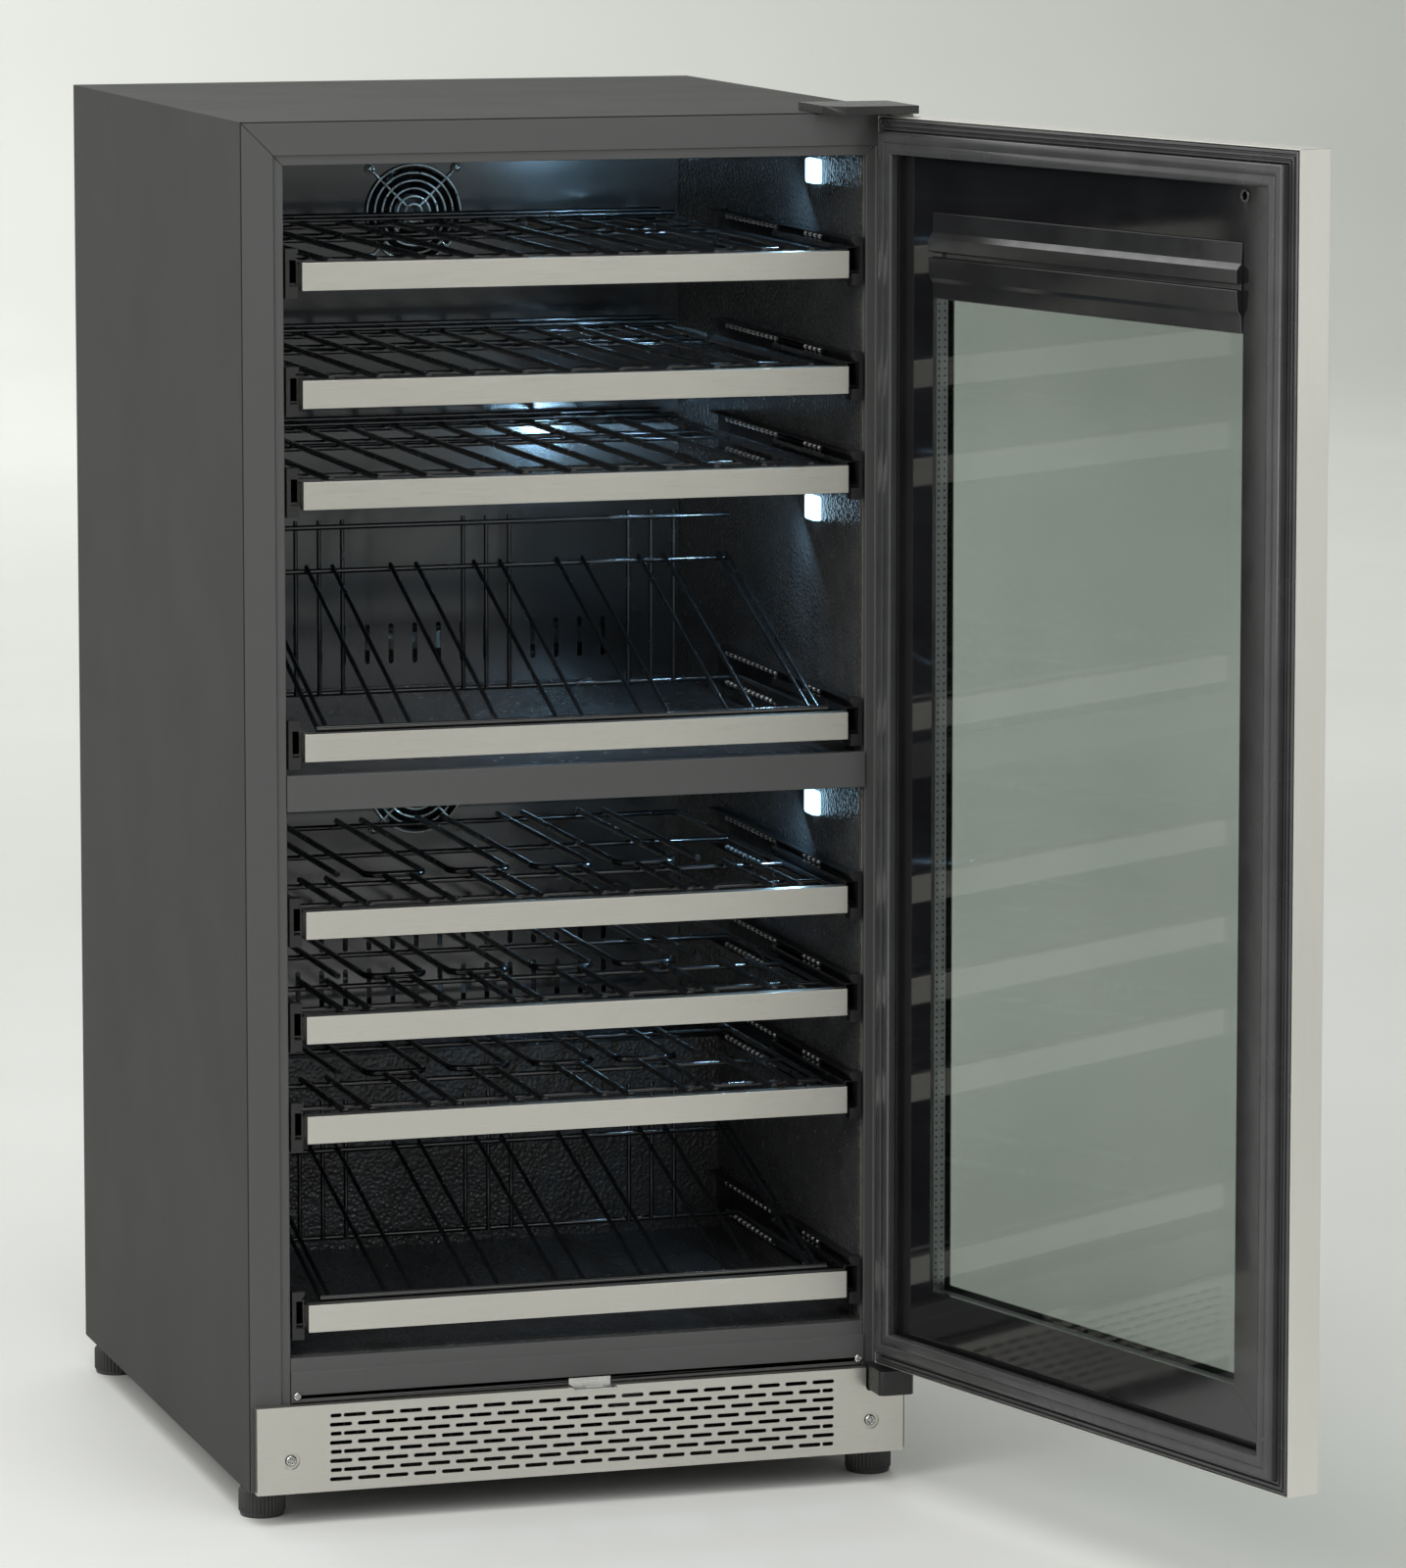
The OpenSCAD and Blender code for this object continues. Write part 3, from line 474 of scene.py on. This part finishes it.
def join_parts(parts):
    """One list of vertices and faces from several."""
    vertices, faces = [], []
    for part_vertices, part_faces in parts:
        start = len(vertices)
        vertices += part_vertices
        faces += [tuple(start + i for i in face) for face in part_faces]
    return vertices, faces


def framed_sweep(profile, half_x, z_low, z_high):
    """Sweeps a profile of (inset, y) points, in millimetres, round a rectangle with mitred corners."""
    corners = [(-1, -1), (1, -1), (1, 1), (-1, 1)]
    vertices = []
    for side_x, side_z in corners:
        for inset, y in profile:
            z = z_low + inset if side_z < 0 else z_high - inset
            vertices.append((side_x * (half_x - inset), y, z))
    count = len(profile)
    faces = []
    for corner in range(4):
        here, there = corner * count, (corner + 1) % 4 * count
        for k in range(count):
            n = (k + 1) % count
            faces.append((here + k, there + k, there + n, here + n))
    return vertices, faces


def frame_face_y():
    """The plane of the front frame's face."""
    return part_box("front_frame")[0].y


def on_door(parts):
    """Moves points drawn for the closed door, in millimetres from the frame's face, to the rest pose."""
    front_y = frame_face_y()
    vertices, faces = parts
    return [DOOR_POSE @ Vector((x * MM, y * MM + front_y, z * MM)) for x, y, z in vertices], faces


def gasket():
    """Magnetic door seal: bellows with a grooved flat face, and a ribbed strip outside them."""
    bellows = [
        (15, -13.9), (15, -11.5), (12.2, -10.2), (11.3, -8), (12, -5.5), (11.4, -3), (12.2, -1.2),
        (14, -0.55), (20, -0.5), (20.6, -1.1), (21.2, -0.5), (28, -0.55), (29.8, -1.2), (30.6, -3),
        (30, -5.5), (30.7, -8), (29.8, -10.2), (27, -11.5), (27, -13.9),
    ]
    ribs = [
        (0.5, -13.9), (0.5, -9.8), (1.3, -8.9), (2.6, -8.9), (3.5, -10.7), (4.6, -10.7), (5.2, -8.6),
        (6.6, -8.4), (7.4, -10.7), (8.3, -10.7), (9.0, -8.0), (10.2, -8.0), (10.8, -10.8), (10.8, -13.9),
    ]
    low, high = closed_box("door_inner_frame")
    half_x, z_low, z_high = high.x / MM, low.z / MM, high.z / MM
    outlines = [framed_sweep(outline, half_x, z_low, z_high) for outline in (bellows, ribs)]
    piece("magnetic_gasket", *on_door(join_parts(outlines)), "door", "rubber", ["door_gasket"], sharp=50)


def glass_border():
    """Black band printed round the front pane."""
    pane_low, pane_high = closed_box("glass_panes")
    outer_x, outer_low, outer_high = 236, pane_low.z / MM, pane_high.z / MM
    clear_x, clear_low, clear_high = 219.5, 190.5, 1059.5
    near, far = -39.9, -39.0
    vertices = []
    for y in (near, far):
        for x, low, high in ((outer_x, outer_low, outer_high), (clear_x, clear_low, clear_high)):
            vertices += [(-x, y, low), (x, y, low), (x, y, high), (-x, y, high)]
    faces = []
    for k in range(4):
        n = (k + 1) % 4
        faces.append((k, n, n + 4, k + 4))
        faces.append((k + 8, k + 12, n + 12, n + 8))
        faces.append((k, k + 8, n + 8, n))
        faces.append((k + 4, n + 4, n + 12, k + 12))
    piece("glass_border", *on_door((vertices, faces)), "door", "gloss")


def screw_head(centre, outward, radius, height, shank=2.5 * MM):
    """Domed head with a cross recess: centre is the middle of its seat, outward the way it faces."""
    outward = Vector(outward)
    across = Vector((1, 0, 0)) if abs(outward.x) < 0.5 else Vector((0, 1, 0))
    up = outward.cross(across)
    segments, steps = 48, 12
    arm, half_wide, depth = radius * 0.62, radius * 0.13, height * 0.62
    # How far the dome falls towards its rim, and how the recess's sides and ends slope.
    fall, side_slope, end_slope = 0.92, 2.2, 0.3 * arm
    shank_end, shank_r = Vector(centre) - outward * shank, radius * 0.5
    turns = [math.tau * k / segments for k in range(segments)]
    rings = [[shank_end + (across * math.cos(a) + up * math.sin(a)) * shank_r for a in turns]]
    for step in range(steps + 1):
        r = radius * (1 - step / (steps + 0.5))
        ring = []
        for k in range(segments):
            a = math.tau * (k + 0.5) / segments
            u, v = r * math.cos(a), r * math.sin(a)
            level = height * math.sqrt(max(0.0, 1 - fall * (r / radius) ** 2)) if step else 0.0
            in_cross = max(0.0, min(1.0, side_slope - min(abs(u), abs(v)) / half_wide))
            in_reach = max(0.0, min(1.0, (arm - max(abs(u), abs(v))) / end_slope))
            level -= depth * min(in_cross, in_reach)
            ring.append(Vector(centre) + across * u + up * v + outward * level)
        rings.append(ring)
    return rings_to_mesh(rings)


def cabinet_screws(name, seats, outward, radius, height, replaces=()):
    """Equal cross-recess screws as one piece."""
    parts = join_parts([screw_head(seat, outward, radius, height) for seat in seats])
    piece(name, *parts, "cabinet", "screw", replaces, sharp=60)


def kickplate_screws():
    """Two screws in the dimples of the kickplate."""
    from_middle, above_floor, dimple = 262.7 * MM, 56.8 * MM, 2.2 * MM
    seat_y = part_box("kickplate")[0].y + dimple
    seats = [(side * from_middle, seat_y, above_floor) for side in (-1, 1)]
    cabinet_screws("kickplate_cross_screws", seats, (0, -1, 0), 5.2 * MM, 3.4 * MM, ["kickplate_screws"])


def small_screws():
    """Four screws round each fan guard and two in the bottom rail."""
    bolt, guard_lug = 41.25 * MM, 3.1 * MM
    from_middle, above_floor = 254.5 * MM, 111 * MM
    guard_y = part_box("air_panels")[0].y - guard_lug
    seats = [
        (x * bolt, guard_y, joints[fan]["pos_m"][2] + z * bolt)
        for fan in ("upper_fan_spin", "lower_fan_spin") for x in (-1, 1) for z in (-1, 1)
    ]
    seats += [(side * from_middle, frame_face_y(), above_floor) for side in (-1, 1)]
    cabinet_screws("guard_and_rail_screws", seats, (0, -1, 0), 3.6 * MM, 2.4 * MM, ["small_screws"])


def back_plate_screws():
    """Screws down both sides of the back plate, and two along its top and bottom edges."""
    rows, inset, from_middle = 6, 9 * MM, 100 * MM
    low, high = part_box("back_plate")
    seats = []
    for k in range(rows):
        z = low.z + inset + (high.z - low.z - 2 * inset) * k / (rows - 1)
        seats += [(x, high.y, z) for x in (low.x + inset, high.x - inset)]
    edges = (low.z + inset, high.z - inset)
    seats += [(x, high.y, z) for x in (-from_middle, from_middle) for z in edges]
    cabinet_screws("back_plate_screws", seats, (0, 1, 0), 3.8 * MM, 2.2 * MM)


def levelling_foot(node):
    """Fluted knob with a recessed pad, a plain collar and its stud."""
    low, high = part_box(node)
    centre = (low + high) / 2
    flutes, segments, groove = 36, 288, 1.2 * MM
    outer = (high.x - low.x) / 2
    # Share of the outer radius, height in millimetres, and whether the ring is fluted.
    profile = [
        (0.90, 0.0, 0), (0.935, 0.8, 0), (0.935, 3.0, 0), (0.965, 3.4, 1), (1.0, 4.6, 1), (1.0, 22.0, 1),
        (0.965, 23.6, 1), (0.90, 25.0, 0), (0.45, 25.0, 0), (0.43, 27.6, 0), (0.25, 27.8, 0),
    ]
    rings = []
    for share, height, fluted in profile:
        ring = []
        for k in range(segments):
            a = math.tau * k / segments
            dip = groove * (0.5 - 0.5 * math.cos(flutes * a)) if fluted else 0.0
            r = outer * share - dip
            ring.append((centre.x + r * math.cos(a), centre.y + r * math.sin(a), low.z + height * MM))
        rings.append(ring)
    stud_r, collar_top = 5 * MM, 28 * MM
    spokes = [(math.cos(a), math.sin(a)) for a in (math.tau * k / segments for k in range(segments))]
    for z in (collar_top, high.z):
        rings.append([(centre.x + stud_r * u, centre.y + stud_r * v, z) for u, v in spokes])
    piece(node + "_fluted", *rings_to_mesh(rings), node, "foot", [node], sharp=45)


def grommet():
    """Rim of the small hole in a corner of the door's inner frame."""
    x, y, below_top, segments = -221, -14, 41, 40
    z = closed_box("door_frame")[1].z / MM - below_top
    # Radius and height over the inner frame.
    profile = [(3.5, 0.0), (3.5, 1.1), (3.9, 1.5), (5.0, 1.5), (5.6, 1.0), (5.7, 0.0)]
    vertices = []
    for k in range(segments):
        a = math.tau * k / segments
        vertices += [(x + r * math.cos(a), y + h, z + r * math.sin(a)) for r, h in profile]
    count = len(profile)
    faces = []
    for k in range(segments):
        n = (k + 1) % segments
        for i in range(count):
            j = (i + 1) % count
            faces.append((k * count + i, n * count + i, n * count + j, k * count + j))
    piece("hole_rim", *on_door((vertices, faces)), "door", "rubber")


def housing_screw():
    """The screw at one end of the slot in the control housing."""
    from_middle, slot_floor, slot_height, shank = 200 * MM, -11.8 * MM, 38 * MM, 0.2 * MM
    seat = (from_middle, slot_floor, closed_box("control_housing")[0].z + slot_height)
    vertices, faces = screw_head(seat, (0, 1, 0), 2.3 * MM, 1.2 * MM, shank)
    in_millimetres = [tuple(c / MM for c in v) for v in vertices]
    piece("housing_screw", *on_door((in_millimetres, faces)), "door", "cage", sharp=60)


gasket()
glass_border()
kickplate_screws()
small_screws()
back_plate_screws()
for foot in ("foot_front_left", "foot_front_right", "foot_rear_left", "foot_rear_right"):
    levelling_foot(foot)
grommet()
housing_screw()

# ---- studio ----

FLOOR_Z = cad_low.z


def studio():
    """Round pale floor that curves up into a wall far enough away to look from every side."""
    flat, bend, top = 10.5, 3.0, 9.0
    around, steps = 96, 14
    outline = [(flat, 0.0)]
    for k in range(1, steps + 1):
        a = math.radians(90 * k / steps)
        outline.append((flat + bend * math.sin(a), bend - bend * math.cos(a)))
    outline.append((flat + bend, top))
    spokes = [(math.cos(a), math.sin(a)) for a in (math.tau * k / around for k in range(around))]
    vertices, faces = [], [tuple(range(around))]
    for r, z in outline:
        vertices += [(r * u, r * v, FLOOR_Z + z) for u, v in spokes]
    for ring in range(len(outline) - 1):
        for k in range(around):
            a, b = ring * around + k, ring * around + (k + 1) % around
            faces.append((a, a + around, b + around, b))
    mesh = bpy.data.meshes.new("studio_sweep")
    mesh.from_pydata(vertices, [], faces)
    mesh.polygons.foreach_set("use_smooth", [True] * len(mesh.polygons))
    sweep = bpy.data.objects.new("studio_sweep", mesh)
    bpy.context.scene.collection.objects.link(sweep)
    mesh.materials.append(studio_paper())


def studio_paper():
    """Pale paper that glows softly away from the cooler, most behind it and towards the left."""
    surface = Surface("studio_paper", Specular_IOR_Level=0.2)
    surface.paint(
        surface.colours(surface.noise(1.2, detail=4), (0.74, 0.745, 0.72), (0.78, 0.785, 0.76)),
        surface.spread(surface.noise(4), 0.5, 0.62),
    )
    axes = surface.add("ShaderNodeSeparateXYZ", {0: surface.place}).outputs
    behind = surface.spread(axes["Y"], 0.16, 0.44, -3.0, 4.0)
    leftward = surface.spread(axes["X"], 1.0, 0.1, 1.6, 5.5)
    reach = surface.add("ShaderNodeVectorMath", {0: surface.place}, operation="LENGTH").outputs["Value"]
    raised = surface.spread(reach, 0.0, 1.0, 3.0, 9.0)
    glow = surface.add("ShaderNodeMath", {0: behind, 1: leftward}, operation="MULTIPLY")
    glow = surface.add("ShaderNodeMath", {0: glow.outputs[0], 1: raised}, operation="MULTIPLY")
    surface.shader.inputs["Emission Color"].default_value = (0.985, 1.0, 0.955, 1)
    surface.tree.links.new(glow.outputs[0], surface.shader.inputs["Emission Strength"])
    surface.material.cycles.emission_sampling = "NONE"
    return surface.material


def area_light(name, place, target, size, power, colour=(1, 1, 1)):
    """A soft rectangle of light that looks at its target and isn't seen itself."""
    light = bpy.data.lights.new(name, "AREA")
    light.shape = "RECTANGLE"
    light.size, light.size_y = size
    light.energy = power
    light.color = colour
    obj = bpy.data.objects.new(name, light)
    bpy.context.scene.collection.objects.link(obj)
    obj.location = place
    obj.rotation_euler = (Vector(target) - Vector(place)).to_track_quat("-Z", "Y").to_euler()
    obj.visible_camera = False


studio()
area_light("soft_left", (-4.2, -3.6, 3.6), (0, 0, 0.7), (3.0, 3.0), 150)
area_light("soft_top", (-0.9, -1.2, 4.4), (-0.2, 0, 0), (3.4, 2.6), 105)
area_light("soft_front", (2.2, -6.5, 2.6), (0, 0, 0.6), (2.4, 2.4), 40)
area_light("floor_wash", (0.0, 3.5, 4.5), (0.0, 3.5, 0), (4.0, 3.0), 70)
area_light("edge_glow", (3.2, -2.95, 1.1), (0.44, -0.92, 0.8), (1.2, 1.6), 4.5)

world = bpy.data.worlds.new("soft_world")
bpy.context.scene.world = world
world.use_nodes = True
world.node_tree.nodes["Background"].inputs["Color"].default_value = (0.9, 0.92, 0.9, 1)
world.node_tree.nodes["Background"].inputs["Strength"].default_value = 0.36


def cabin_lights():
    """A small lamp in front of each lens lights its zone."""
    lens_height, reach = 22 * MM, 14 * MM
    size, power, colour = (0.03, 0.02), 0.62, (0.4, 0.72, 1.0)
    inward, downward = 0.1, 0.12
    lamp_low, lamp_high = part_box("led_lamps")
    middle_y = (lamp_low.y + lamp_high.y) / 2
    levels = sorted({round(v.co.z, 4) for v in frame["nodes"]["led_lamps"].data.vertices})
    centres = []
    for low, high in zip(levels, levels[1:]):
        if abs(high - low - lens_height) < MM:
            centres.append((low + high) / 2)
    for index, z in enumerate(centres):
        place = (lamp_low.x - reach, middle_y, z)
        target = (0, middle_y + inward, z - downward)
        area_light(f"cabin_lamp_{index}", place, target, size, power, colour)


cabin_lights()

# ---- camera ----

CAMERA = Vector((-1.7531, -6.4074, 1.5544))
YAW, PITCH = math.radians(17.055), math.radians(6.765)
FOCAL_PX, SHIFT_PX, IMAGE_H = 7545.0, 200.0, 1600
SENSOR_MM = 36
camera_data = bpy.data.cameras.new("camera")
camera_data.sensor_width = SENSOR_MM
camera_data.lens = FOCAL_PX * SENSOR_MM / IMAGE_H
camera_data.shift_y = -SHIFT_PX / IMAGE_H
camera_data.clip_end = 100
camera = bpy.data.objects.new("camera", camera_data)
bpy.context.scene.collection.objects.link(camera)
camera.location = CAMERA
level = math.cos(PITCH)
forward = Vector((math.sin(YAW) * level, math.cos(YAW) * level, -math.sin(PITCH)))
camera.rotation_euler = forward.to_track_quat("-Z", "Y").to_euler()
bpy.context.scene.camera = camera

scene = bpy.context.scene
scene.view_settings.view_transform = "Standard"
scene.cycles.use_denoising = True
scene.cycles.caustics_reflective = False
scene.cycles.caustics_refractive = False
